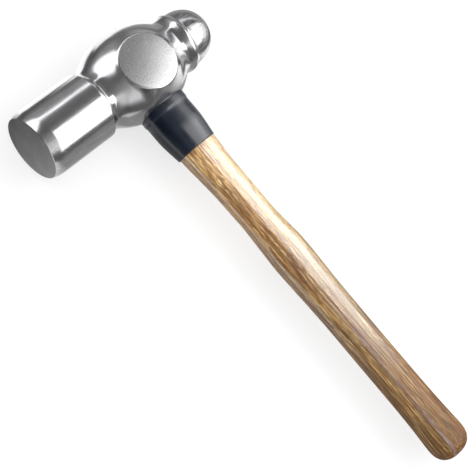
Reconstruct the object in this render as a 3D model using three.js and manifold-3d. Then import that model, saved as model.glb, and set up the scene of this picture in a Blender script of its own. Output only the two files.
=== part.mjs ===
// Ball peen hammer: forged head, oval wooden handle wedged into its eye, and a
// moulded guard sleeve that protects the handle just below the head.
//
// Millimetres. While it is built, the head axis is Y (the striking face looks
// along -Y, the ball peen along +Y), the handle runs along +X from the eye, and
// the round cheek bosses look along +Z and -Z. The finished hammer lies on its
// lower cheek boss, with the origin under the middle of its bounding box.

import * as THREE from 'three';
import { mergeVertices } from 'three/addons/utils/BufferGeometryUtils.js';
import Module from 'manifold-3d';

const wasm = await Module();
wasm.setup();

// ---- Driving dimensions -------------------------------------------------------

const GAP = 0.3; // air between neighbouring pieces

// Poll, the cylinder that carries the striking face
const POLL_RADIUS = 22;
const FACE_Y = -83.4;
const FACE_RADIUS = 20.6;
const BEVEL_END_Y = -75.6;
const POLL_REAR_Y = -36.6;
const POLL_REAR_ROUND = 0.9;

// Necks on both sides of the eye, octagonal with rounded corners
const POLL_NECK_Y = -33.4;
const POLL_NECK_RADIUS = 18.8;
const PEEN_NECK_Y = 30;
const PEEN_NECK_RADIUS = 16.8;
const NECK_CORNER_SHARPNESS = 20;
const NECK_SIDES = 8;

// Ball peen: a flared collar, a crisp ring and a ball
const COLLAR_Y = 36.2;
const COLLAR_RADIUS = 19.5;
const RING_Y = 38.2;
const RING_RADIUS = 18.6;
const RING_STEP = 0.2; // the ring stands this far back from the ball's first circle
const BALL_RADIUS = 17.6;
const BALL_CENTRE_Y = 41.2;
const LAST_BALL_ANGLE = 1.55; // radians, nearly the pole

// Eye body: a long ellipsoid joined to a round one that carries the cheek bosses
const EYE_END_X = 28.2;
const CHEEK_Z = 24;
const EYE_BODY = { x: 0, y: -2, semi: { x: 29.7, y: 38.5, z: 26.3 } };
const BOSS_BODY = { x: 1.6, y: 0, semi: { x: 26.2, y: 26.2, z: 33.5 } };
const BLEND_RADIUS = 1.4;

// Eye, an oval hole along X that is a little wider at its top end
const EYE_SEMI = { y: 13.5, z: 9.5 };
const EYE_TOP_FLARE = 1.06;

// Handle
const TENON_TOP_X = -27.8;
const SHOULDER_X = EYE_END_X + 0.5;
const TENON_ROOT = 1; // the tenon runs this far into the grip
const GRIP_DEPTH_RATIO = 0.76; // thickness along Z over depth along Y
const GRIP_SQUARENESS = 2.3; // 2 is an ellipse
const BUTT_START_X = 290;
const BUTT_END_X = 303.2;
const BUTT_ROUNDNESS = 2.6;
const BUTT_REACH = 0.999; // share of the butt's length before its small flat end
// distance from the eye, half depth along Y, sideways drift of the centre line
const GRIP_STATIONS = [
  [SHOULDER_X, 13.6, -0.2],
  [50, 13.4, -0.4],
  [64, 13.1, -0.4],
  [75, 12.3, -0.4],
  [89, 11.8, 0],
  [104, 11.6, 0.1],
  [115, 11.5, 0.1],
  [126, 12.05, 0.2],
  [137, 12.8, 0.4],
  [148, 13.1, 0.3],
  [162, 12.75, 0.2],
  [177, 12.3, 0.1],
  [195, 12.1, 0.1],
  [224, 12.1, -0.15],
  [254, 12.2, -0.3],
  [272, 12.5, -0.4],
  [284, 13.0, -0.55],
  [BUTT_START_X, 13.25, -0.6],
];

// Guard sleeve below the head
const SLEEVE_SEMI = { y: 15.9, z: 12.3 };
const SLEEVE_DRIFT = -0.8;
const SLEEVE_TAPER_X = 47;
const SLEEVE_END_X = 59.2;
const SLEEVE_END_SCALE = 0.89;
const SLEEVE_END_ROUND = 0.6;
const SLEEVE_LIP = { length: 1.8, scale: 1.03 };

// Wooden wedge in the saw cut of the tenon, and two steel wedges across it
const WOOD_WEDGE = { length: 25, topHalf: 1.7, tipHalf: 0.4, halfWidth: 12.4 };
const STEEL_WEDGE = { length: 15, topHalf: 1.1, tipHalf: 0.3, halfWidth: 6.2 };
const STEEL_WEDGE_Y = 6.2;
const KERF_HALF_WIDTH = 16;

// Mesh density
const ROUND_STEPS = 40;
const HEAD_RING_SPACING = 2.6;
const HANDLE_STEPS = 36;
const BUTT_STEPS = 6;
const BALL_STEPS = 8;

// ---- Solids -------------------------------------------------------------------

// A geometry with shared vertices merged and collapsed triangles left out.
function weld(geometry) {
  const bare = geometry.clone();
  bare.deleteAttribute('normal');
  bare.deleteAttribute('uv');
  const merged = mergeVertices(bare, 1e-4);
  const source = merged.index.array;
  const kept = [];
  for (let i = 0; i < source.length; i += 3) {
    const [a, b, c] = [source[i], source[i + 1], source[i + 2]];
    if (a !== b && b !== c && c !== a) kept.push(a, b, c);
  }
  merged.setIndex(kept);
  return merged;
}

function toSolid(geometry) {
  const welded = weld(geometry);
  const mesh = new wasm.Mesh({
    numProp: 3,
    vertProperties: new Float32Array(welded.attributes.position.array),
    triVerts: new Uint32Array(welded.index.array),
  });
  return new wasm.Manifold(mesh);
}

function toGeometry(solid) {
  const mesh = solid.getMesh();
  const geometry = new THREE.BufferGeometry();
  geometry.setAttribute('position', new THREE.BufferAttribute(mesh.vertProperties, 3));
  geometry.setIndex(new THREE.BufferAttribute(mesh.triVerts, 1));
  geometry.computeVertexNormals();
  return geometry;
}

function boxSolid(low, high) {
  const size = high.map((value, axis) => value - low[axis]);
  const geometry = new THREE.BoxGeometry(...size);
  geometry.translate(...high.map((value, axis) => (value + low[axis]) / 2));
  return toSolid(geometry);
}

// A closed body with one ring per station, and a centre point at each end. It
// is a lathe whose vertices move to section(station, angle, share), where share
// is 1 on the ring and 0 at an end's centre.
function loft(stations, section) {
  const last = stations.length - 1;
  const profile = stations.map((_, row) => new THREE.Vector2(1, row));
  profile.unshift(new THREE.Vector2(0, 0));
  profile.push(new THREE.Vector2(0, last));
  const geometry = new THREE.LatheGeometry(profile, ROUND_STEPS);
  const position = geometry.attributes.position;
  for (let i = 0; i < position.count; i += 1) {
    const row = i % profile.length;
    const angle = (Math.floor(i / profile.length) % ROUND_STEPS) * ((2 * Math.PI) / ROUND_STEPS);
    const share = row === 0 || row > last + 1 ? 0 : 1;
    const station = stations[THREE.MathUtils.clamp(row - 1, 0, last)];
    const { x, y, z } = section(station, angle, share);
    position.setXYZ(i, x, y, z);
  }
  return geometry;
}

// A point of an oval section across X, with its corners filled out a little.
function ovalPoint(x, angle, depth, thickness, drift) {
  const square = (value) => Math.sign(value) * Math.abs(value) ** (2 / GRIP_SQUARENESS);
  const y = drift - square(Math.sin(angle)) * depth;
  return new THREE.Vector3(x, y, square(Math.cos(angle)) * thickness);
}

// ---- Head ---------------------------------------------------------------------

function smoothMax(a, b) {
  const overlap = Math.max(BLEND_RADIUS * 2 - Math.abs(a - b), 0);
  return Math.max(a, b) + (overlap * overlap) / (BLEND_RADIUS * 8);
}

function ease(from, to, value) {
  return THREE.MathUtils.smoothstep(value, from, to);
}

// Radius of a round bar's section, before the necks become octagonal.
function barRadius(y) {
  if (y <= BEVEL_END_Y) {
    const t = (y - FACE_Y) / (BEVEL_END_Y - FACE_Y);
    return THREE.MathUtils.lerp(FACE_RADIUS, POLL_RADIUS, t);
  }
  if (y <= POLL_REAR_Y) {
    const round = Math.max(y - (POLL_REAR_Y - POLL_REAR_ROUND), 0);
    return POLL_RADIUS - POLL_REAR_ROUND
      + Math.sqrt(POLL_REAR_ROUND ** 2 - round ** 2);
  }
  if (y <= PEEN_NECK_Y) {
    const t = ease(POLL_NECK_Y, PEEN_NECK_Y, y);
    const neck = THREE.MathUtils.lerp(POLL_NECK_RADIUS, PEEN_NECK_RADIUS, t);
    const fillet = 1 - ease(POLL_REAR_Y, POLL_NECK_Y, y);
    return neck + fillet * (POLL_RADIUS - POLL_REAR_ROUND - POLL_NECK_RADIUS);
  }
  if (y <= RING_Y) {
    const rise = ease(PEEN_NECK_Y, COLLAR_Y, y);
    const fall = ease(COLLAR_Y - 1, RING_Y, y);
    return THREE.MathUtils.lerp(PEEN_NECK_RADIUS, COLLAR_RADIUS, rise)
      - fall * (COLLAR_RADIUS - RING_RADIUS);
  }
  return Math.sqrt(Math.max(BALL_RADIUS ** 2 - (y - BALL_CENTRE_Y) ** 2, 0));
}

// 1 where the bar is octagonal, 0 where it is round.
function octagonShare(y) {
  const start = ease(POLL_REAR_Y, POLL_NECK_Y, y);
  const end = 1 - ease(PEEN_NECK_Y, COLLAR_Y + 1, y);
  return start * end;
}

// Distance of a unit rounded octagon's side, as a share of its inscribed radius.
function octagonNorm(angle) {
  let sum = 0;
  for (let side = 0; side < NECK_SIDES; side += 1) {
    const facing = Math.cos(angle - (side * 2 * Math.PI) / NECK_SIDES);
    sum += Math.max(facing, 0) ** NECK_CORNER_SHARPNESS;
  }
  return sum ** (1 / NECK_CORNER_SHARPNESS);
}

function neckRadius(y, angle) {
  return barRadius(y) / (1 + octagonShare(y) * (octagonNorm(angle) - 1));
}

// Where a ray across the head axis at this angle leaves an ellipsoid.
function ellipsoidRadius(body, y, angle) {
  const alongX = Math.sin(angle) / body.semi.x;
  const alongZ = Math.cos(angle) / body.semi.z;
  const offset = body.x / body.semi.x;
  const a = alongX * alongX + alongZ * alongZ;
  const b = -2 * alongX * offset;
  const c = offset * offset + ((y - body.y) / body.semi.y) ** 2 - 1;
  if (c >= 0) return 0;
  return (-b + Math.sqrt(b * b - 4 * a * c)) / (2 * a);
}

function headRadius(y, angle) {
  const bar = neckRadius(y, angle);
  if (y <= POLL_REAR_Y || y >= COLLAR_Y) return bar;
  const eyeBody = ellipsoidRadius(EYE_BODY, y, angle);
  const bossBody = ellipsoidRadius(BOSS_BODY, y, angle);
  return smoothMax(bar, smoothMax(eyeBody, bossBody));
}

// Stations along the head axis: close together at edges, even between them.
function headStations() {
  const stations = [FACE_Y, BEVEL_END_Y, -56, POLL_REAR_Y - POLL_REAR_ROUND];
  stations.push(POLL_REAR_Y - 0.3, POLL_REAR_Y);
  for (let y = POLL_REAR_Y + 1.2; y < PEEN_NECK_Y + 3; y += HEAD_RING_SPACING) stations.push(y);
  stations.push(COLLAR_Y - 1.2, COLLAR_Y, COLLAR_Y + 1, RING_Y);
  const firstAngle = Math.asin((RING_Y + RING_STEP - BALL_CENTRE_Y) / BALL_RADIUS);
  for (let i = 0; i <= BALL_STEPS; i += 1) {
    const angle = THREE.MathUtils.lerp(firstAngle, LAST_BALL_ANGLE, i / BALL_STEPS);
    stations.push(BALL_CENTRE_Y + BALL_RADIUS * Math.sin(angle));
  }
  return stations;
}

// The head's outside, grown by an allowance, with its flat cheeks and eye ends.
function headEnvelope(allowance) {
  const geometry = loft(headStations(), (y, angle, share) => {
    const radius = share * (headRadius(y, angle) + allowance);
    return new THREE.Vector3(radius * Math.sin(angle), y, radius * Math.cos(angle));
  });
  const x = EYE_END_X + allowance;
  const z = CHEEK_Z + allowance;
  const limits = boxSolid([-x, FACE_Y - 1, -z], [x, BALL_CENTRE_Y + BALL_RADIUS + 1, z]);
  return toSolid(geometry).intersect(limits);
}

function ovalBar(fromX, toX, semiY, semiZ, startScale) {
  const geometry = new THREE.CylinderGeometry(1, startScale, toX - fromX, ROUND_STEPS);
  geometry.rotateZ(-Math.PI / 2);
  geometry.scale(1, semiY, semiZ);
  geometry.translate((fromX + toX) / 2, 0, 0);
  return toSolid(geometry);
}

function headSolid() {
  const past = 1;
  const eye = ovalBar(-EYE_END_X - past, EYE_END_X + past, EYE_SEMI.y, EYE_SEMI.z, EYE_TOP_FLARE);
  return headEnvelope(0).subtract(eye);
}

// ---- Handle -------------------------------------------------------------------

function gripStations() {
  const depths = GRIP_STATIONS.map(([x, half]) => new THREE.Vector2(x, half));
  const drifts = GRIP_STATIONS.map(([x, , y]) => new THREE.Vector2(x, y));
  const depthCurve = new THREE.SplineCurve(depths);
  const driftCurve = new THREE.SplineCurve(drifts);
  const stations = [];
  for (let i = 0; i <= HANDLE_STEPS; i += 1) {
    const { x, y: half } = depthCurve.getPoint(i / HANDLE_STEPS);
    stations.push({ x, half, drift: driftCurve.getPoint(i / HANDLE_STEPS).y });
  }
  const butt = stations[HANDLE_STEPS];
  for (let i = 1; i <= BUTT_STEPS; i += 1) {
    const t = Math.sin((i / BUTT_STEPS) * (Math.PI / 2)) * BUTT_REACH;
    const shrink = (1 - t ** BUTT_ROUNDNESS) ** (1 / BUTT_ROUNDNESS);
    const x = BUTT_START_X + t * (BUTT_END_X - BUTT_START_X);
    stations.push({ x, half: butt.half * shrink, drift: butt.drift });
  }
  return stations;
}

// The grip alone, from the shoulder to the butt, grown by an allowance.
function gripSolid(allowance) {
  const geometry = loft(gripStations(), (station, angle, share) => {
    const depth = share * (station.half + allowance);
    const thickness = share * (station.half * GRIP_DEPTH_RATIO + allowance);
    return ovalPoint(station.x, angle, depth, thickness, station.drift);
  });
  return toSolid(geometry);
}

// A wedge with its thick end at the top of the tenon, tapering along +X. Its
// thickness runs along Z, or along Y when it is turned across.
function wedgeSolid(shape, allowance, centreY, turned) {
  const top = TENON_TOP_X - (allowance > 0 ? 1 : 0);
  const tip = TENON_TOP_X + shape.length + allowance;
  const outline = new THREE.Shape();
  outline.moveTo(top, -shape.topHalf - allowance);
  outline.lineTo(tip, -shape.tipHalf - allowance);
  outline.lineTo(tip, shape.tipHalf + allowance);
  outline.lineTo(top, shape.topHalf + allowance);
  outline.closePath();
  const halfWidth = shape.halfWidth + allowance;
  const options = { depth: 2 * halfWidth, bevelEnabled: false };
  const geometry = new THREE.ExtrudeGeometry(outline, options);
  geometry.translate(0, 0, -halfWidth);
  if (!turned) geometry.rotateX(Math.PI / 2);
  geometry.translate(0, centreY, 0);
  return toSolid(geometry);
}

function woodWedge(allowance) {
  const shape = allowance > 0 ? { ...WOOD_WEDGE, halfWidth: KERF_HALF_WIDTH } : WOOD_WEDGE;
  return wedgeSolid(shape, allowance, 0, false);
}

function steelWedge(side, allowance) {
  return wedgeSolid(STEEL_WEDGE, allowance, side * STEEL_WEDGE_Y, true);
}

function handleSolid() {
  const tenon = ovalBar(
    TENON_TOP_X,
    SHOULDER_X + TENON_ROOT,
    EYE_SEMI.y - GAP,
    EYE_SEMI.z - GAP,
    EYE_TOP_FLARE,
  );
  return gripSolid(0)
    .add(tenon)
    .subtract(woodWedge(GAP))
    .subtract(steelWedge(1, GAP))
    .subtract(steelWedge(-1, GAP));
}

function woodWedgeSolid() {
  return woodWedge(0).subtract(steelWedge(1, GAP)).subtract(steelWedge(-1, GAP));
}

// ---- Guard sleeve -------------------------------------------------------------

function sleeveSolid() {
  const lipEnd = EYE_END_X + SLEEVE_LIP.length;
  const stations = [
    { x: EYE_END_X / 2, scale: SLEEVE_LIP.scale },
    { x: lipEnd, scale: SLEEVE_LIP.scale },
    { x: lipEnd + SLEEVE_LIP.length, scale: 1 },
    { x: SLEEVE_TAPER_X, scale: 1 },
    { x: SLEEVE_TAPER_X + 4, scale: 0.985 },
    { x: SLEEVE_END_X - SLEEVE_END_ROUND, scale: SLEEVE_END_SCALE },
    { x: SLEEVE_END_X, scale: SLEEVE_END_SCALE - SLEEVE_END_ROUND / SLEEVE_SEMI.z },
  ];
  const geometry = loft(stations, ({ x, scale }, angle, share) => {
    const size = share * scale;
    return ovalPoint(x, angle, SLEEVE_SEMI.y * size, SLEEVE_SEMI.z * size, SLEEVE_DRIFT);
  });
  const tenonRoom = ovalBar(0, SHOULDER_X + TENON_ROOT, EYE_SEMI.y, EYE_SEMI.z, 1);
  return toSolid(geometry)
    .subtract(headEnvelope(GAP))
    .subtract(gripSolid(GAP))
    .subtract(tenonRoom);
}

// ---- Assembly -----------------------------------------------------------------

function finish(color, roughness, metalness) {
  return new THREE.MeshStandardMaterial({ color, roughness, metalness });
}

const pieces = [
  ['head', headSolid(), finish(0xb4b5b8, 0.28, 1)],
  ['handle', handleSolid(), finish(0xc99a63, 0.4, 0)],
  ['guard_sleeve', sleeveSolid(), finish(0x14171e, 0.45, 0)],
  ['wooden_wedge', woodWedgeSolid(), finish(0x8f6a3c, 0.6, 0)],
  ['steel_wedge_face_side', steelWedge(-1, 0), finish(0x6f7276, 0.4, 1)],
  ['steel_wedge_peen_side', steelWedge(1, 0), finish(0x6f7276, 0.4, 1)],
];

const group = new THREE.Group();
for (const [name, solid, material] of pieces) {
  const mesh = new THREE.Mesh(toGeometry(solid), material);
  mesh.name = name;
  group.add(mesh);
}

// Rest the lower cheek boss on Z = 0, centred in X and Y.
const middleX = (BUTT_END_X - EYE_END_X) / 2;
const middleY = (FACE_Y + BALL_CENTRE_Y + BALL_RADIUS) / 2;
group.position.set(-middleX, -middleY, CHEEK_Z);

export default group;
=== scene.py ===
# Ball peen hammer: the visual model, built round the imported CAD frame.
#
# Shapes are worked out in millimetres from the middle of the eye, with the head
# axis along Y (striking face at -Y, ball peen at +Y), the handle along +X and
# the cheek bosses at +Z and -Z. in_frame() moves them into the row's frame.
import math

import bmesh
import bpy
import numpy as np
from mathutils import Matrix, Vector


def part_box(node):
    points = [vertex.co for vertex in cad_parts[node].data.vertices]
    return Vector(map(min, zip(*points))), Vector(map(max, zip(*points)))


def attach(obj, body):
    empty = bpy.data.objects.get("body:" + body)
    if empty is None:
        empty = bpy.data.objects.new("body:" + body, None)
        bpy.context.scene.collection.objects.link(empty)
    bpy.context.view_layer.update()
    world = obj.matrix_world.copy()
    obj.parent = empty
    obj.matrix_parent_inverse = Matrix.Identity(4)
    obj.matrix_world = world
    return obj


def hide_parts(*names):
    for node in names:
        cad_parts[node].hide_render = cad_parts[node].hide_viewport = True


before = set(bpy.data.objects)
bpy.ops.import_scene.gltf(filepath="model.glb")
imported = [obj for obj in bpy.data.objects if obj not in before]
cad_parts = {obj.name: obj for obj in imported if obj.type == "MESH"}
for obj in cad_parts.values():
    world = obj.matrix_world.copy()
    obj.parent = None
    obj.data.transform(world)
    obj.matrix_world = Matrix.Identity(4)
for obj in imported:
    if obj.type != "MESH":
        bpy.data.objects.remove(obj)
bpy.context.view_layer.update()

MM = 0.001
ROOT = "root"

# ---- Dimensions, in millimetres -----------------------------------------------

# Head
FACE_Y, FACE_RADIUS, FACE_EDGE = -83.4, 20.6, 0.3
BEVEL_END_Y, BEVEL_POWER, POLL_RADIUS = -75.6, 1.8, 22.0
POLL_REAR_Y, POLL_REAR_ROUND = -36.6, 0.9
POLL_NECK_Y, POLL_NECK_RADIUS = -33.4, 18.8
PEEN_NECK_Y, PEEN_NECK_RADIUS = 28.8, 17.7
COLLAR_Y, COLLAR_RADIUS = 35.6, 19.9
RING_Y, RING_RADIUS = 38.2, 18.6
BALL_RADIUS, BALL_END_Y, BALL_POWER = 18.1, 58.79, 2.3
NECK_SHARPNESS, NECK_SIDES = 20, 8
EYE_BODY = {"x": 0.0, "y": -2.0, "semi": (29.7, 38.5, 25.2)}
BOSS_BODY = {"x": 2.4, "y": 0.8, "semi": (24.7, 24.7, 33.5)}
BODY_BLEND, EDGE_BLEND = 1.4, 0.3
CHEEK_Z, CHEEK_CROWN_RADIUS, CHEEK_CROWN_DEPTH = 24.0, 160.0, 1.3
EYE_END_X = 28.2
EYE_SEMI_Y, EYE_SEMI_Z, EYE_TOP_FLARE = 13.5, 9.5, 1.06
EYE_CHAMFER, EYE_CHAMFER_FLARE = 1.2, 0.14
BLASTED_REACH, BLASTED_FLATNESS = 20.0, 0.98

# Handle
FIT_GAP = 0.12
TENON_TOP_X = -27.8
TENON_DOME = [(0.0, 0.50), (0.25, 0.76), (0.7, 0.92), (1.3, 1.0)]  # depth, share of the width
SHOULDER_X = EYE_END_X + 0.5
GRIP_DEPTH_RATIO = 0.76
GRIP_SQUARENESS = 2.3
BUTT_START_X, BUTT_END_X = 290.0, 303.2
BUTT_ROUNDNESS, BUTT_REACH = 2.6, 0.999
# distance from the eye, half depth along Y, sideways drift of the centre line
GRIP_STATIONS = [
    (SHOULDER_X, 13.6, -0.2),
    (50, 13.4, -0.4),
    (64, 13.1, -0.4),
    (75, 12.3, -0.4),
    (89, 11.8, 0.0),
    (104, 11.6, 0.1),
    (115, 11.5, 0.1),
    (126, 12.05, 0.2),
    (137, 12.8, 0.4),
    (148, 13.1, 0.3),
    (162, 12.75, 0.2),
    (177, 12.3, 0.1),
    (195, 12.1, 0.1),
    (224, 12.1, -0.15),
    (254, 12.2, -0.3),
    (272, 12.5, -0.4),
    (284, 13.0, -0.55),
    (BUTT_START_X, 13.25, -0.6),
]

# Guard sleeve
SLEEVE_SEMI_Y, SLEEVE_SEMI_Z = 15.9, 12.3
SLEEVE_DRIFT = -0.8
SLEEVE_TAPER = (41.0, 65.2)  # the S-shaped taper would end past the sleeve
SLEEVE_END_X, SLEEVE_END_SCALE, SLEEVE_END_ROUND = 59.2, 0.89, 0.9
SLEEVE_LIP_LENGTH, SLEEVE_LIP_SCALE = 1.8, 1.03

# Wedges and the cuts that they fill
WOOD_WEDGE = {"length": 25.0, "top": 1.7, "tip": 0.4, "width": 16.0}
STEEL_WEDGE = {"length": 15.0, "top": 1.1, "tip": 0.3, "width": 6.2}
STEEL_WEDGE_Y = 6.2
WEDGE_GAP = 0.3

# Mesh density, and the angles between faces above which an edge stays sharp
HEAD_STEP, HEAD_COLUMNS = 0.4, 360
HEAD_CUTTER_STEP, HEAD_CUTTER_COLUMNS = 0.8, 240
BEVEL_STEPS, BAR_COLUMNS, BUTT_STEPS = 15, 160, 25
GRIP_STEPS, GRIP_CUTTER_STEPS = 300, 120
SHARP_DEGREES, SLEEVE_SHARP_DEGREES = 32, 40

# The middle of the eye, from the boxes of the CAD head and handle
EYE_CENTRE = Vector((
    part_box("handle")[1].x - (BUTT_START_X + BUTT_REACH * (BUTT_END_X - BUTT_START_X)) * MM,
    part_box("head")[0].y - FACE_Y * MM,
    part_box("head")[0].z + CHEEK_Z * MM,
))


def in_frame(points):
    """Millimetres from the middle of the eye, as metres in the row's frame."""
    return np.asarray(points) * MM + np.array(EYE_CENTRE)


# ---- Curves and meshes --------------------------------------------------------


def ease(start, end, value):
    """0 up to start, 1 from end on, and an S between them."""
    t = np.clip((value - start) / (end - start), 0.0, 1.0)
    return t * t * (3.0 - 2.0 * t)


def smooth_max(a, b, radius):
    """The larger of two radii, with the corner between them filled out."""
    overlap = np.maximum(radius * 2 - np.abs(a - b), 0.0)
    return np.maximum(a, b) + overlap**2 / (radius * 8)


def smooth_min(a, b, radius):
    """The smaller of two radii, with the corner between them rounded off."""
    return -smooth_max(-a, -b, radius)


def circle(steps):
    """Angles once round, in radians."""
    return np.linspace(0.0, 2 * np.pi, steps, endpoint=False)


def catmull_rom(stations, steps):
    """The uniform Catmull-Rom curve through the stations."""
    points = np.array(stations, float)
    spans = len(points) - 1
    at = np.linspace(0.0, spans, steps + 1)
    i = np.minimum(at.astype(int), spans - 1)
    t = (at - i)[:, None]
    before, start = points[np.maximum(i - 1, 0)], points[i]
    end, after = points[i + 1], points[np.minimum(i + 2, spans)]
    return 0.5 * (
        2 * start
        + (end - before) * t
        + (2 * before - 5 * start + 4 * end - after) * t**2
        + (3 * start - before - 3 * end + after) * t**3
    )


def loft(name, rings, low_tip, high_tip):
    """A closed mesh over rings of points (rows x columns x 3), with a point at each end."""
    rows, columns = rings.shape[:2]
    points = np.vstack([rings.reshape(-1, 3), [low_tip, high_tip]])
    low, high = rows * columns, rows * columns + 1
    faces = []
    for column in range(columns):
        after = (column + 1) % columns
        faces.append((low, after, column))
        for here in range(0, (rows - 1) * columns, columns):
            above = here + columns
            faces.append((here + column, here + after, above + after, above + column))
        faces.append((high, low - columns + column, low - columns + after))
    mesh = bpy.data.meshes.new(name)
    mesh.from_pydata(in_frame(points).tolist(), [], faces)
    bm = bmesh.new()
    bm.from_mesh(mesh)
    bmesh.ops.recalc_face_normals(bm, faces=bm.faces)
    bm.to_mesh(mesh)
    bm.free()
    piece = bpy.data.objects.new(name, mesh)
    bpy.context.scene.collection.objects.link(piece)
    return piece


def oval_bar(name, stations, squareness=2.0):
    """A bar along X over stations of (x, half depth, half thickness, drift)."""
    x, depth, thickness, drift = np.array(stations, float).T[:, :, None]
    angle = circle(BAR_COLUMNS)
    across = np.sign(np.sin(angle)) * np.abs(np.sin(angle)) ** (2 / squareness)
    up = np.sign(np.cos(angle)) * np.abs(np.cos(angle)) ** (2 / squareness)
    rings = np.stack([x + 0 * up, drift - across * depth, up * thickness], axis=-1)
    tips = [(stations[end][0], stations[end][3], 0) for end in (0, -1)]
    return loft(name, rings, *tips)


def cut(piece, *cutters):
    """Takes the cutters away from the piece, and leaves it without material slots."""
    for cutter in cutters:
        boolean = piece.modifiers.new("cut", "BOOLEAN")
        boolean.object = cutter
        boolean.operation = "DIFFERENCE"
        boolean.solver = "MANIFOLD"
        with bpy.context.temp_override(object=piece, active_object=piece):
            bpy.ops.object.modifier_apply(modifier=boolean.name)
        bpy.data.objects.remove(cutter)
    piece.data.materials.clear()


def smooth(piece, sharp_degrees):
    """Smooth shading, with the edges above this angle kept sharp."""
    mesh = piece.data
    mesh.polygons.foreach_set("use_smooth", np.ones(len(mesh.polygons), dtype=bool))
    mesh.set_sharp_from_angle(angle=math.radians(sharp_degrees))


# ---- Head ---------------------------------------------------------------------


def bar_radius(y):
    """Radius of the round bar that the poll, the necks and the peen are shaped from."""
    ahead = np.clip((BEVEL_END_Y - y) / (BEVEL_END_Y - FACE_Y), 0.0, 1.0)
    bevel = POLL_RADIUS - (POLL_RADIUS - FACE_RADIUS) * ahead**BEVEL_POWER
    past = np.clip(y - (POLL_REAR_Y - POLL_REAR_ROUND), 0.0, POLL_REAR_ROUND)
    poll = POLL_RADIUS - POLL_REAR_ROUND + np.sqrt(POLL_REAR_ROUND**2 - past**2)
    taper = ease(POLL_NECK_Y, PEEN_NECK_Y, y)
    fillet = 1 - ease(POLL_REAR_Y, POLL_NECK_Y, y)
    neck = POLL_NECK_RADIUS + taper * (PEEN_NECK_RADIUS - POLL_NECK_RADIUS)
    neck += fillet * (POLL_RADIUS - POLL_REAR_ROUND - POLL_NECK_RADIUS)
    rise = ease(PEEN_NECK_Y, COLLAR_Y, y)
    fall = ease(COLLAR_Y - 1, RING_Y, y)
    collar = PEEN_NECK_RADIUS + rise * (COLLAR_RADIUS - PEEN_NECK_RADIUS)
    collar -= fall * (COLLAR_RADIUS - RING_RADIUS)
    along = np.clip((y - RING_Y) / (BALL_END_Y - RING_Y), 0.0, 1.0)
    ball = BALL_RADIUS * (1 - along**BALL_POWER) ** (1 / BALL_POWER)
    stretches = [y <= BEVEL_END_Y, y <= POLL_REAR_Y, y <= PEEN_NECK_Y, y <= RING_Y]
    return np.select(stretches, [bevel, poll, neck, collar], ball)


def octagon_norm(angle):
    """What a circle's radius is divided by to make a rounded octagon."""
    sides = np.arange(NECK_SIDES) * 2 * np.pi / NECK_SIDES
    facing = np.maximum(np.cos(angle[..., None] - sides), 0.0)
    return (facing**NECK_SHARPNESS).sum(axis=-1) ** (1 / NECK_SHARPNESS)


def ellipsoid_radius(body, y, angle):
    """Distance from the head axis to the body's surface, and 0 past its ends."""
    semi_x, semi_y, semi_z = body["semi"]
    offset = body["x"] / semi_x
    a = (np.sin(angle) / semi_x) ** 2 + (np.cos(angle) / semi_z) ** 2
    b = -2 * np.sin(angle) / semi_x * offset
    c = offset**2 + ((y - body["y"]) / semi_y) ** 2 - 1
    root = np.sqrt(np.maximum(b * b - 4 * a * c, 0.0))
    return np.where(c < 0, (-b + root) / (2 * a), 0.0)


def cheek_limit(y, angle):
    """Distance to the slightly crowned cheek face, across the head axis."""
    steep = np.abs(np.cos(angle)) + 1e-6
    x = CHEEK_Z * np.sin(angle) / steep
    crown = ((x - BOSS_BODY["x"]) ** 2 + y**2) / (2 * CHEEK_CROWN_RADIUS)
    return (CHEEK_Z - np.minimum(crown, CHEEK_CROWN_DEPTH)) / steep


def head_radius(y, angle):
    """Distance from the head axis to the surface; the angle starts at +Z and turns to +X."""
    octagonal = ease(POLL_REAR_Y, POLL_NECK_Y, y) * (1 - ease(PEEN_NECK_Y, COLLAR_Y + 1, y))
    bar = bar_radius(y) / (1 + octagonal * (octagon_norm(angle) - 1))
    bodies = smooth_max(
        ellipsoid_radius(EYE_BODY, y, angle), ellipsoid_radius(BOSS_BODY, y, angle), BODY_BLEND
    )
    in_eye = (y > POLL_REAR_Y) & (y < COLLAR_Y)
    radius = np.where(in_eye, smooth_max(bar, bodies, BODY_BLEND), bar)
    radius = smooth_min(radius, cheek_limit(y, angle), EDGE_BLEND)
    return smooth_min(radius, EYE_END_X / (np.abs(np.sin(angle)) + 1e-6), EDGE_BLEND)


def head_heights(step):
    """Heights along the head axis, close together at edges and far apart on straight runs."""
    bevel = np.linspace(FACE_Y, BEVEL_END_Y, BEVEL_STEPS + 1)[2:]
    poll = np.arange(BEVEL_END_Y + 4, POLL_REAR_Y - 4, 4.0)
    rear = POLL_REAR_Y - np.array([2.2, 1.0, 0.9, 0.8, 0.6, 0.4, 0.2, 0.1, 0.03, 0.0])
    eye = np.arange(POLL_REAR_Y + 0.1, RING_Y - 0.3, step)
    ring = RING_Y + np.array([-0.25, -0.1, 0.0, 0.02, 0.1])
    turns = np.linspace(0.06, np.pi / 2 - 0.01, int(26 / step))
    ball = RING_Y + (BALL_END_Y - RING_Y) * np.sin(turns)
    return np.concatenate([[FACE_Y, FACE_Y + FACE_EDGE], bevel, poll, rear, eye, ring, ball])


def head_body(name, allowance, step, columns):
    """The head before its eye is cut, larger in radius by the allowance."""
    y, angle = np.meshgrid(head_heights(step), circle(columns), indexing="ij")
    radius = head_radius(y, angle) + allowance
    radius[0] -= FACE_EDGE
    rings = np.stack([radius * np.sin(angle), y, radius * np.cos(angle)], axis=-1)
    return loft(name, rings, (0, FACE_Y, 0), (0, BALL_END_Y, 0))


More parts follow.
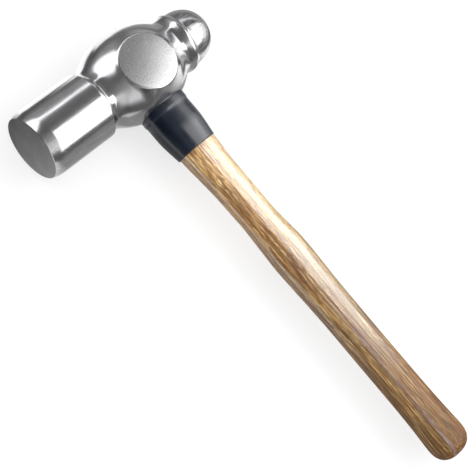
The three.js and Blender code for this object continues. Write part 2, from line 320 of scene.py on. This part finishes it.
def eye_cutter():
    """The oval eye with its chamfers; it runs past the head at both ends."""
    past = 2.0
    stations = [
        (-EYE_END_X - past, EYE_TOP_FLARE + EYE_CHAMFER_FLARE),
        (-EYE_END_X + EYE_CHAMFER, EYE_TOP_FLARE),
        (EYE_END_X - EYE_CHAMFER, 1.0),
        (EYE_END_X + past, 1.0 + EYE_CHAMFER_FLARE),
    ]
    return oval_bar("eye_cutter", [(x, EYE_SEMI_Y * s, EYE_SEMI_Z * s, 0) for x, s in stations])


def finish_head(mesh):
    """Gives each zone of the head its own finish."""
    for finish in (satin_steel, polished_steel, face_steel, blasted_steel, ground_steel):
        mesh.materials.append(finish())
    satin, polished, face, blasted, ground = range(5)
    for polygon in mesh.polygons:
        y = (polygon.center.y - EYE_CENTRE.y) / MM
        zone = satin
        if y < FACE_Y + 0.05:
            zone = face
        elif y < POLL_REAR_Y:
            zone = polished
        elif y > RING_Y:
            zone = ground
        elif abs(polygon.normal.z) > BLASTED_FLATNESS and abs(y) < BLASTED_REACH:
            zone = blasted
        polygon.material_index = zone


def make_head():
    head = head_body("hammer_head", 0.0, HEAD_STEP, HEAD_COLUMNS)
    cut(head, eye_cutter())
    smooth(head, SHARP_DEGREES)
    finish_head(head.data)
    return head


# ---- Handle -------------------------------------------------------------------


def grip_stations(steps):
    """The grip and its rounded butt, as stations for oval_bar."""
    stations = [
        (x, half, half * GRIP_DEPTH_RATIO, drift)
        for x, half, drift in catmull_rom(GRIP_STATIONS, steps)
    ]
    _, half, _, drift = stations[-1]
    for t in np.sin(np.linspace(0, np.pi / 2, BUTT_STEPS + 1))[1:] * BUTT_REACH:
        end = half * (1 - t**BUTT_ROUNDNESS) ** (1 / BUTT_ROUNDNESS)
        x = BUTT_START_X + t * (BUTT_END_X - BUTT_START_X)
        stations.append((x, end, end * GRIP_DEPTH_RATIO, drift))
    return stations


def wedge_cut(name, wedge, centre_y, across):
    """The cut for a wedge, its thickness along Z, or along Y where it is across."""
    top, tip = TENON_TOP_X - 1, TENON_TOP_X + wedge["length"] + WEDGE_GAP
    half_top, half_tip = wedge["top"] + WEDGE_GAP, wedge["tip"] + WEDGE_GAP
    outline = [(top, -half_top), (tip, -half_tip), (tip, half_tip), (top, half_top)]
    rings = []
    for side in (-1, 1):
        end = side * (wedge["width"] + WEDGE_GAP)
        rings.append([(x, centre_y + t, end) if across else (x, end, t) for x, t in outline])
    rings = np.array(rings, float)
    return loft(name, rings, rings[0].mean(axis=0), rings[1].mean(axis=0))


def make_handle():
    semi_y, semi_z = EYE_SEMI_Y - FIT_GAP, EYE_SEMI_Z - FIT_GAP
    top_y, top_z = semi_y * EYE_TOP_FLARE, semi_z * EYE_TOP_FLARE
    tenon = [(TENON_TOP_X + depth, top_y * share, top_z * share, 0) for depth, share in TENON_DOME]
    tenon.append((SHOULDER_X - 0.02, semi_y, semi_z, 0))
    handle = oval_bar("hammer_handle", tenon + grip_stations(GRIP_STEPS), GRIP_SQUARENESS)
    cut(handle, wedge_cut("kerf", WOOD_WEDGE, 0, across=False))
    for side in (-1, 1):
        cut(handle, wedge_cut("slot", STEEL_WEDGE, side * STEEL_WEDGE_Y, across=True))
    smooth(handle, SHARP_DEGREES)
    handle.data.materials.append(handle_wood())
    return handle


# ---- Guard sleeve -------------------------------------------------------------


def sleeve_stations():
    """A lip next to the head, a body that narrows, and a rounded end."""
    lip_end = EYE_END_X + SLEEVE_LIP_LENGTH
    profile = [
        (EYE_END_X / 2, SLEEVE_LIP_SCALE),
        (lip_end, SLEEVE_LIP_SCALE),
        (lip_end + 0.5, SLEEVE_LIP_SCALE - 0.004),
        (lip_end + 1.4, 1.004),
        (lip_end + 2.2, 1.0),
    ]
    last = SLEEVE_END_X - SLEEVE_END_ROUND
    drop = (1 - SLEEVE_END_SCALE) / ease(*SLEEVE_TAPER, last)
    for x in np.linspace(lip_end + 4, last, 40):
        profile.append((x, 1 - drop * ease(*SLEEVE_TAPER, x)))
    for turn in np.linspace(0, np.pi / 2, 7)[1:]:
        shrink = SLEEVE_END_ROUND / SLEEVE_SEMI_Z * (1 - math.cos(turn))
        profile.append((last + SLEEVE_END_ROUND * math.sin(turn), SLEEVE_END_SCALE - shrink))
    return [(x, SLEEVE_SEMI_Y * s, SLEEVE_SEMI_Z * s, SLEEVE_DRIFT) for x, s in profile]


def make_sleeve():
    sleeve = oval_bar("rubber_sleeve", sleeve_stations(), GRIP_SQUARENESS)
    grip = [
        (x, y + FIT_GAP, z + FIT_GAP, drift)
        for x, y, z, drift in grip_stations(GRIP_CUTTER_STEPS)
    ]
    room = [(x, EYE_SEMI_Y, EYE_SEMI_Z, 0) for x in (0, SHOULDER_X + 0.5)]
    cut(
        sleeve,
        head_body("head_cutter", FIT_GAP, HEAD_CUTTER_STEP, HEAD_CUTTER_COLUMNS),
        oval_bar("grip_cutter", grip, GRIP_SQUARENESS),
        oval_bar("tenon_cutter", room),
    )
    smooth(sleeve, SLEEVE_SHARP_DEGREES)
    sleeve.data.materials.append(sleeve_rubber())
    return sleeve


# ---- Node helpers -------------------------------------------------------------


class Nodes:
    """Adds nodes to a tree and links them. Values are numbers, tuples or sockets."""

    def __init__(self, tree):
        self.tree = tree

    def add(self, kind, inputs=(), **settings):
        node = self.tree.nodes.new(kind)
        for key, value in settings.items():
            setattr(node, key, value)
        for key, value in dict(inputs).items():
            self.feed(node.inputs[key], value)
        return node

    def feed(self, socket, value):
        if isinstance(value, bpy.types.NodeSocket):
            self.tree.links.new(value, socket)
        else:
            socket.default_value = value

    def math(self, operation, *values):
        return self.add("ShaderNodeMath", dict(enumerate(values)), operation=operation).outputs[0]

    def vector(self, operation, first, second):
        inputs = {0: first, "Scale" if operation == "SCALE" else 1: second}
        node = self.add("ShaderNodeVectorMath", inputs, operation=operation)
        return node.outputs["Value" if operation == "LENGTH" else "Vector"]

    def combine(self, x, y, z):
        return self.add("ShaderNodeCombineXYZ", {0: x, 1: y, 2: z}).outputs[0]

    def split(self, vector):
        return self.add("ShaderNodeSeparateXYZ", {0: vector}).outputs

    def span(self, value, low, high, to_low=0.0, to_high=1.0):
        """Low to high, mapped onto to_low to to_high and held at the ends."""
        inputs = {"Value": value, "From Min": low, "From Max": high,
                  "To Min": to_low, "To Max": to_high}
        return self.add("ShaderNodeMapRange", inputs).outputs["Result"]

    def ramp(self, value, *stops):
        """A colour ramp over stops of (position, grey or colour)."""
        node = self.add("ShaderNodeValToRGB", {"Fac": value})
        elements = node.color_ramp.elements
        while len(elements) < len(stops):
            elements.new(0.5)
        for element, (position, color) in zip(elements, stops):
            element.position = position
            element.color = (*color, 1) if isinstance(color, tuple) else (color, color, color, 1)
        return node.outputs["Color"]

    def profile(self, value, *stops):
        """A ramp whose positions are in the value's own units."""
        low, high = stops[0][0], stops[-1][0]
        shares = [((position - low) / (high - low), tone) for position, tone in stops]
        return self.ramp(self.span(value, low, high), *shares)

    def mix(self, share, first, second):
        node = self.add("ShaderNodeMix", data_type="RGBA")
        self.feed(node.inputs[0], share)
        self.feed(node.inputs[6], first)
        self.feed(node.inputs[7], second)
        return node.outputs[2]


class Surface(Nodes):
    """A material with a Principled shader; place is in millimetres from the eye."""

    def __init__(self, name):
        self.material = bpy.data.materials.new(name)
        self.material.use_nodes = True
        super().__init__(self.material.node_tree)
        self.shader = self.tree.nodes["Principled BSDF"]
        position = self.add("ShaderNodeTexCoord").outputs["Object"]
        from_eye = self.vector("SUBTRACT", position, tuple(EYE_CENTRE))
        self.place = self.vector("SCALE", from_eye, 1 / MM)

    def noise(self, cell, detail=2.0, roughness=0.5, at=None):
        """Noise whose cells measure cell = (x, y, z) millimetres."""
        place = self.vector("MULTIPLY", at or self.place, tuple(1 / size for size in cell))
        inputs = {"Vector": place, "Scale": 1.0, "Detail": detail, "Roughness": roughness}
        return self.add("ShaderNodeTexNoise", inputs).outputs["Fac"]

    def bump(self, height, strength, distance, socket="Normal"):
        """Fine relief; the distance is in millimetres."""
        inputs = {"Height": height, "Strength": strength, "Distance": distance * MM}
        self.feed(self.shader.inputs[socket], self.add("ShaderNodeBump", inputs).outputs["Normal"])

    def set(self, **values):
        for key, value in values.items():
            self.feed(self.shader.inputs[key.replace("_", " ")], value)


# ---- Materials ----------------------------------------------------------------


def polished_steel():
    """The poll: belt-polished along its length."""
    s = Surface("polished_steel")
    streaks = s.noise((0.9, 14, 0.9), detail=4, roughness=0.6)
    cloud = s.noise((9, 9, 9), detail=3)
    tone = s.ramp(cloud, (0.3, (0.60, 0.60, 0.61)), (0.7, (0.68, 0.68, 0.69)))
    tone = s.mix(s.span(streaks, 0.45, 0.65, 0.0, 0.5), tone, (0.40, 0.40, 0.41, 1))
    s.set(Base_Color=tone, Metallic=1.0, Roughness=s.span(streaks, 0.3, 0.7, 0.13, 0.22))
    s.bump(streaks, 0.18, 0.03)
    return s.material


def satin_steel():
    """The eye and the necks: forged, then ground and brushed to a satin."""
    s = Surface("satin_steel")
    brush = s.noise((0.9, 5.0, 0.9), detail=3)
    cloud = s.noise((8, 8, 8), detail=3)
    tone = s.ramp(cloud, (0.3, (0.56, 0.56, 0.57)), (0.7, (0.65, 0.65, 0.66)))
    s.set(Base_Color=tone, Metallic=1.0, Roughness=s.span(brush, 0.3, 0.7, 0.15, 0.21))
    s.bump(brush, 0.05, 0.03)
    return s.material


def ground_steel():
    """The ball peen: ground, with fine marks that run over the ball."""
    s = Surface("ground_steel")
    marks = s.noise((0.8, 7, 0.8), detail=4, roughness=0.65)
    tone = s.ramp(marks, (0.35, (0.40, 0.40, 0.41)), (0.65, (0.66, 0.66, 0.67)))
    s.set(Base_Color=tone, Metallic=1.0, Roughness=s.span(marks, 0.3, 0.7, 0.17, 0.26))
    s.bump(marks, 0.16, 0.04)
    return s.material


def face_steel():
    """The striking face: hardened, darker and matt."""
    s = Surface("face_steel")
    grain = s.noise((0.35, 0.35, 0.35), detail=3)
    cloud = s.noise((10, 10, 10), detail=2)
    tone = s.ramp(cloud, (0.3, (0.28, 0.28, 0.285)), (0.75, (0.36, 0.36, 0.365)))
    s.set(Base_Color=tone, Metallic=1.0, Roughness=s.span(grain, 0.3, 0.7, 0.36, 0.48))
    s.bump(grain, 0.15, 0.04)
    return s.material


def blasted_steel():
    """The cheek bosses: grit blasted."""
    s = Surface("blasted_steel")
    grain = s.noise((0.7, 0.7, 0.7), detail=4, roughness=0.65)
    tone = s.ramp(grain, (0.35, (0.50, 0.50, 0.50)), (0.65, (0.78, 0.78, 0.78)))
    s.set(Base_Color=tone, Metallic=1.0, Roughness=s.span(grain, 0.3, 0.7, 0.27, 0.36))
    s.bump(grain, 0.45, 0.10)
    return s.material


def wood_place(s):
    """The place in the wood, swaying so that no line of grain is quite straight."""
    sway_y = s.span(s.noise((120, 20, 20), detail=1), 0, 1, -4, 4)
    sway_z = s.span(s.noise((90, 16, 16), detail=1), 0, 1, -3, 3)
    return s.vector("ADD", s.place, s.combine(0.0, sway_y, sway_z))


def early_wood(s, at):
    """1 in the open early wood of each year's ring, and 0 in its dense late wood."""
    x, y, z = (s.split(at)[axis] for axis in range(3))
    lean = s.math("MULTIPLY_ADD", x, 0.03, s.math("ADD", y, -30.0))
    from_pith = s.combine(0.0, lean, s.math("ADD", z, 42.0))
    radius = s.vector("LENGTH", from_pith, (0, 0, 0))
    year = s.math("FRACT", s.math("DIVIDE", radius, 3.3))
    return s.ramp(year, (0.0, 1.0), (0.3, 0.8), (0.55, 0.05), (0.9, 0.0), (1.0, 1.0))


def open_pores(s, at, early):
    """Long pores that follow the early wood, short ones everywhere, and long checks."""
    x, y = (s.split(at)[axis] for axis in range(2))
    long = s.ramp(s.noise((10, 1.1, 1.1), detail=2, at=at), (0.50, 0.0), (0.55, 1.0))
    short = s.ramp(s.noise((4.5, 1.0, 1.0), detail=1, at=at), (0.55, 0.0), (0.61, 1.0))
    checks = s.ramp(s.noise((38, 1.1, 1.1), detail=1.5, at=at), (0.56, 0.0), (0.61, 1.0))
    # fewer open pores on the peen side, where the highlight falls, least so near the butt
    fewer_pores = s.math("MULTIPLY", s.span(y, -3.0, 4.0), s.span(x, 150.0, 220.0, 0.80, 0.20))
    patch = s.span(s.noise((34, 5, 5), detail=2), 0.42, 0.56, 0.35, 1.0)
    open_side = s.math("MULTIPLY", s.math("SUBTRACT", 1.0, fewer_pores), patch)
    long = s.math("MULTIPLY", long, s.span(early, 0, 1, 0.45, 1.0))
    pores = s.math("MULTIPLY", long, open_side)
    pores = s.math("MAXIMUM", pores, s.math("MULTIPLY", short, 0.65))
    checks = s.math("MULTIPLY", checks, s.span(x, 110.0, 200.0, 0.25, 0.85))
    return s.math("MAXIMUM", pores, checks)


def new_wood(s, at, early, fibre):
    """Tan fibre, browner in patches and in the early wood."""
    x, y = (s.split(at)[axis] for axis in range(2))
    broad = s.noise((60, 5, 5), detail=3, at=at)
    tan = s.ramp(
        fibre, (0.36, (0.33, 0.15, 0.035)), (0.50, (0.60, 0.36, 0.13)), (0.64, (0.90, 0.66, 0.34)),
    )
    tan = s.mix(s.span(broad, 0.42, 0.62, 0.0, 0.45), tan, (0.44, 0.23, 0.070, 1))
    tan = s.mix(s.math("MULTIPLY", early, 0.40), tan, (0.38, 0.17, 0.045, 1))
    # paler, yellower wood on the peen side where the softbox highlight falls, fading out towards
    # the butt: partly sapwood, partly a painted highlight tint
    sapwood_and_highlight_tint = s.math("MULTIPLY", s.span(y, -2.0, 5.0, 0.0, 0.40), s.span(x, 170.0, 250.0, 1.0, 0.0))
    return s.mix(sapwood_and_highlight_tint, tan, (0.72, 0.56, 0.25, 1))


def handled_wood(s, at, tan):
    """The wood, darker and browner towards the butt, and threaded where it is bare."""
    x, y = (s.split(at)[axis] for axis in range(2))
    # the wood grows darker towards the butt
    darker_to_butt = s.profile(x, (28, 1.0), (105, 1.0), (140, 0.72), (190, 0.52), (240, 0.43), (303, 0.32))
    tan = s.vector("MULTIPLY", tan, darker_to_butt)
    held = s.math("MULTIPLY", s.span(y, -1.0, 7.0), s.span(x, 190.0, 260.0, 0.0, 0.75))
    tan = s.mix(held, tan, s.vector("MULTIPLY", tan, (0.78, 0.62, 0.46)))
    elsewhere = s.vector("ADD", at, (40, 9, 5))
    threads = s.noise((26, 1.0, 1.0), detail=2, roughness=0.6, at=elsewhere)
    threads = s.ramp(threads, (0.38, 0.42), (0.50, 0.95), (0.62, 1.75))
    bare = s.span(x, 60.0, 210.0, 0.45, 0.85)
    return s.mix(bare, tan, s.vector("MULTIPLY", tan, threads))


def painted_ridge_highlight(s):
    """A broken lavender streak along the middle, towards the butt: a painted highlight along the
    handle's ridge.
    """
    x, y = (s.split(s.place)[axis] for axis in range(2))
    off_line = s.math("ADD", s.math("MULTIPLY_ADD", x, 0.015, y), 1.4)
    line = s.span(s.math("ABSOLUTE", off_line), 1.4, 0.4)
    streak = s.math("MULTIPLY", line, s.span(x, 170.0, 205.0, 0.0, 0.85))
    broken = s.span(s.noise((12, 1.2, 1.2), detail=2), 0.36, 0.56, 0.3, 1.0)
    return s.math("MULTIPLY", streak, broken)


def handle_wood():
    """The handle: open-grained oak whose varnish thins towards the butt."""
    s = Surface("handle_wood")
    at = wood_place(s)
    x = s.split(at)[0]
    early = early_wood(s, at)
    pores = open_pores(s, at, early)
    fibre = s.noise((20, 1.0, 1.0), detail=4, roughness=0.6, at=at)
    tan = handled_wood(s, at, new_wood(s, at, early, fibre))
    # painted highlight: a broken lavender streak along the handle's ridge towards the butt
    tan = s.mix(painted_ridge_highlight(s), tan, (0.27, 0.22, 0.24, 1))
    color = s.mix(s.math("MULTIPLY", pores, 0.88), tan, (0.135, 0.047, 0.012, 1))
    varnish = s.profile(x, (28, 0.95), (150, 0.85), (200, 0.55), (245, 0.12), (303, 0.04))
    s.set(Base_Color=color, Roughness=s.span(fibre, 0.3, 0.7, 0.40, 0.55),
          Specular_IOR_Level=0.2, Coat_Weight=varnish, Coat_Roughness=0.14, Coat_IOR=2.6)
    relief = s.math("SUBTRACT", s.math("MULTIPLY", fibre, 0.5), pores)
    s.bump(relief, 0.5, 0.10)
    s.bump(relief, 0.12, 0.05, "Coat Normal")
    return s.material


def sleeve_rubber():
    """The guard sleeve: satin blue-black rubber."""
    s = Surface("sleeve_rubber")
    grain = s.noise((0.5, 0.5, 0.5), detail=3)
    cloud = s.noise((9, 5, 5), detail=3)
    tone = s.ramp(cloud, (0.3, (0.0006, 0.0030, 0.009)), (0.7, (0.0014, 0.0065, 0.018)))
    s.set(Base_Color=tone, Roughness=s.span(cloud, 0.3, 0.7, 0.20, 0.28), Specular_IOR_Level=1.0)
    s.bump(grain, 0.12, 0.05)
    return s.material


def wedge_wood():
    """The wooden wedge: bare sawn wood."""
    s = Surface("wedge_wood")
    pores = s.noise((4, 0.35, 0.35), detail=3)
    color = s.ramp(pores, (0.35, (0.20, 0.10, 0.04)), (0.65, (0.40, 0.25, 0.12)))
    s.set(Base_Color=color, Roughness=s.span(pores, 0.3, 0.7, 0.55, 0.75))
    s.bump(pores, 0.4, 0.1)
    return s.material


def wedge_steel():
    """The steel wedges: dull rolled strip."""
    s = Surface("wedge_steel")
    scale = s.noise((1.5, 1.5, 0.4), detail=4)
    color = s.ramp(scale, (0.35, (0.20, 0.20, 0.21)), (0.65, (0.36, 0.36, 0.37)))
    s.set(Base_Color=color, Metallic=1.0, Roughness=s.span(scale, 0.3, 0.7, 0.35, 0.5))
    s.bump(scale, 0.2, 0.1)
    return s.material


# ---- Studio -------------------------------------------------------------------

# The camera aims at a point in millimetres from the eye; the angles are in degrees
CAMERA_AIM = (116.0, -19.4, 0.0)
CAMERA_DISTANCE = 781.9
CAMERA_AZIMUTH, CAMERA_ELEVATION, CAMERA_ROLL = -0.1, 63.2, 49.5
LENS, SENSOR = 98.73, 36.0


def make_camera():
    data = bpy.data.cameras.new("camera")
    data.lens, data.sensor_width = LENS, SENSOR
    data.clip_end = 20.0
    camera = bpy.data.objects.new("camera", data)
    bpy.context.scene.collection.objects.link(camera)
    turn = Matrix.Rotation(math.radians(CAMERA_AZIMUTH), 4, "Z")
    turn @= Matrix.Rotation(math.radians(90 - CAMERA_ELEVATION), 4, "X")
    away = turn @ Vector((0, 0, CAMERA_DISTANCE * MM))
    place = Vector(in_frame(CAMERA_AIM)) + away
    roll = Matrix.Rotation(math.radians(CAMERA_ROLL), 4, "Z")
    camera.matrix_world = Matrix.Translation(place) @ turn @ roll
    bpy.context.scene.camera = camera


def make_light(name, centre, size, tilt_degrees, radiance):
    """A soft rectangular light, facing down and tilted about Y. Lengths are in millimetres."""
    data = bpy.data.lights.new(name, "AREA")
    data.shape = "RECTANGLE"
    data.size, data.size_y = size[0] * MM, size[1] * MM
    data.energy = radiance * math.pi * data.size * data.size_y
    light = bpy.data.objects.new(name, data)
    bpy.context.scene.collection.objects.link(light)
    light.location = in_frame(centre)
    light.rotation_euler = (0, math.radians(tilt_degrees), 0)
    light.visible_camera = False
    return light


def make_lights():
    """One softbox that the steel mirrors, and a wide fill that only lights what is matt."""
    make_light("softbox", (350, 388, 343), (640, 625), 15.8, radiance=2.2)
    fill = make_light("fill", (60, -200, 900), (1300, 1300), 0, radiance=1.5)
    fill.visible_glossy = False


def mirrored_walls(n):
    """What the steel mirrors above the floor: a dim studio with a few white cards."""
    x, y, z = (n.split(n.add("ShaderNodeTexCoord").outputs["Generated"])[axis] for axis in range(3))
    turn = n.math("DEGREES", n.math("ARCTAN2", x, z))
    tone = n.profile(
        turn, (-90, 0.2), (-82, 0.32), (-62, 0.36), (-45, 0.26), (-30, 0.17), (-8, 0.14),
        (4, 0.25), (20, 0.4), (36, 0.85), (54, 1.0), (62, 0.4), (70, 0.14), (90, 0.14),
    )
    # a card away from the handle that narrows to a strip towards the peen
    half_width = n.profile(y, (-0.6, 0.0), (-0.4, 0.75), (-0.1, 0.6), (0.25, 0.15), (0.7, 0.08))
    off_centre = n.math("ABSOLUTE", n.math("ADD", turn, 51.0))
    inside = n.math("SUBTRACT", n.math("MULTIPLY", half_width, 40.0), off_centre)
    tone = n.mix(n.span(inside, -3.0, 3.0), tone, (2.0, 2.0, 2.02, 1))
    # the wall beyond the peen is white on the handle's side
    beyond = n.math("MULTIPLY", n.span(y, 0.72, 0.85), n.span(x, -0.05, 0.15))
    tone = n.mix(beyond, tone, (1.6, 1.6, 1.6, 1))
    # a card overhead, towards the peen
    over = n.math("MULTIPLY", n.span(turn, -16.0, -10.0), n.span(turn, 14.0, 8.0))
    over = n.math("MULTIPLY", over, n.span(y, 0.50, 0.60))
    tone = n.mix(over, tone, (2.1, 2.1, 2.1, 1))
    # the wall before the face is dark
    return n.vector("MULTIPLY", tone, n.span(y, -0.55, -0.30, 0.35, 1.0))


def make_world():
    """White to the camera; mirrors and soft light come from mirrored_walls."""
    world = bpy.data.worlds.new("studio")
    bpy.context.scene.world = world
    world.use_nodes = True
    n = Nodes(world.node_tree)
    seen = n.add("ShaderNodeLightPath").outputs["Is Camera Ray"]
    background = world.node_tree.nodes["Background"]
    n.feed(background.inputs["Color"], n.mix(seen, mirrored_walls(n), (1, 1, 1, 1)))


def mirrored_floor(s):
    """What the steel mirrors below it: a painted reflection of dark and light patches round the
    head, which the floor glows with for mirror rays only.
    """
    x, y = (s.split(s.place)[axis] for axis in range(2))
    tones = s.profile(
        x, (-500, 0.12), (-92, 0.12), (-76, 1.5), (-26, 1.5), (-18, 0.14), (20, 0.28),
        (26, 0.8), (34, 0.36), (130, 0.36), (500, 0.16),
    )
    # the white strip away from the handle is wider from the eye to the peen
    wide = s.math("MULTIPLY", s.span(x, -165.0, -130.0), s.span(x, -60.0, -75.0))
    wide = s.math("MULTIPLY", wide, s.span(y, -4.0, 10.0))
    tones = s.mix(wide, tones, (1.5, 1.5, 1.5, 1))
    # before the face the painted reflection goes from dark to light towards the handle's side
    before_face = s.profile(x, (-60, 0.15), (-20, 0.28), (20, 0.75), (60, 0.85))
    tones = s.mix(s.span(y, -78.0, -62.0), before_face, tones)
    # beyond the peen it is grey, with a white strip and, further out, a dark patch
    behind_peen = s.profile(
        x, (-200, 0.20), (-90, 0.42), (-20, 0.45), (10, 0.5), (35, 1.5), (60, 1.0), (110, 0.45),
        (200, 0.4),
    )
    patch = s.profile(y, (86, 0.0), (98, 1.0), (150, 1.0), (180, 0.2))
    patch = s.math("MULTIPLY", patch, s.span(x, 0.0, 15.0))
    behind_peen = s.mix(patch, behind_peen, (0.16, 0.16, 0.16, 1))
    return s.mix(s.span(y, 52.0, 68.0), tones, behind_peen)


def make_floor():
    """White paper to the camera and to soft light; mirrors see the painted reflection from
    mirrored_floor.
    """
    half = 4.0
    mesh = bpy.data.meshes.new("studio_floor")
    corners = [(-half, -half, 0), (half, -half, 0), (half, half, 0), (-half, half, 0)]
    mesh.from_pydata(corners, [], [(0, 1, 2, 3)])
    floor = bpy.data.objects.new("studio_floor", mesh)
    bpy.context.scene.collection.objects.link(floor)
    s = Surface("studio_floor")
    s.set(Base_Color=(0.9, 0.9, 0.9, 1), Roughness=0.9, Specular_IOR_Level=0.1)
    # painted reflection: the floor glows with this pattern for mirror rays only
    painted_reflection = s.add("ShaderNodeEmission", {"Color": mirrored_floor(s)}).outputs[0]
    paper = s.add("ShaderNodeEmission", {"Strength": 1.0}).outputs[0]
    rays = s.add("ShaderNodeLightPath").outputs
    # part of the paper's white is its own, so that the hammer's shadow stays faint
    lit = s.add("ShaderNodeMixShader", {0: s.math("MULTIPLY", rays["Is Camera Ray"], 0.7)})
    s.feed(lit.inputs[1], s.shader.outputs[0])
    s.feed(lit.inputs[2], paper)
    seen = s.add("ShaderNodeMixShader", {0: rays["Is Glossy Ray"]})
    s.feed(seen.inputs[1], lit.outputs[0])
    s.feed(seen.inputs[2], painted_reflection)
    s.feed(s.tree.nodes["Material Output"].inputs["Surface"], seen.outputs[0])
    mesh.materials.append(s.material)


# ---- Assembly -----------------------------------------------------------------


def stand_for(piece, node):
    """The piece takes the place of the CAD node, which is hidden."""
    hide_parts(node)
    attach(piece, ROOT)


bpy.context.scene.view_settings.view_transform = "Standard"
make_camera()
make_world()
make_floor()
make_lights()

stand_for(make_head(), "head")
handle = make_handle()
handle.visible_glossy = False  # the steel mirrors no orange
stand_for(handle, "handle")
stand_for(make_sleeve(), "guard_sleeve")

for node, material in {
    "wooden_wedge": wedge_wood(),
    "steel_wedge_face_side": wedge_steel(),
    "steel_wedge_peen_side": wedge_steel(),
}.items():
    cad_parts[node].material_slots[0].material = material
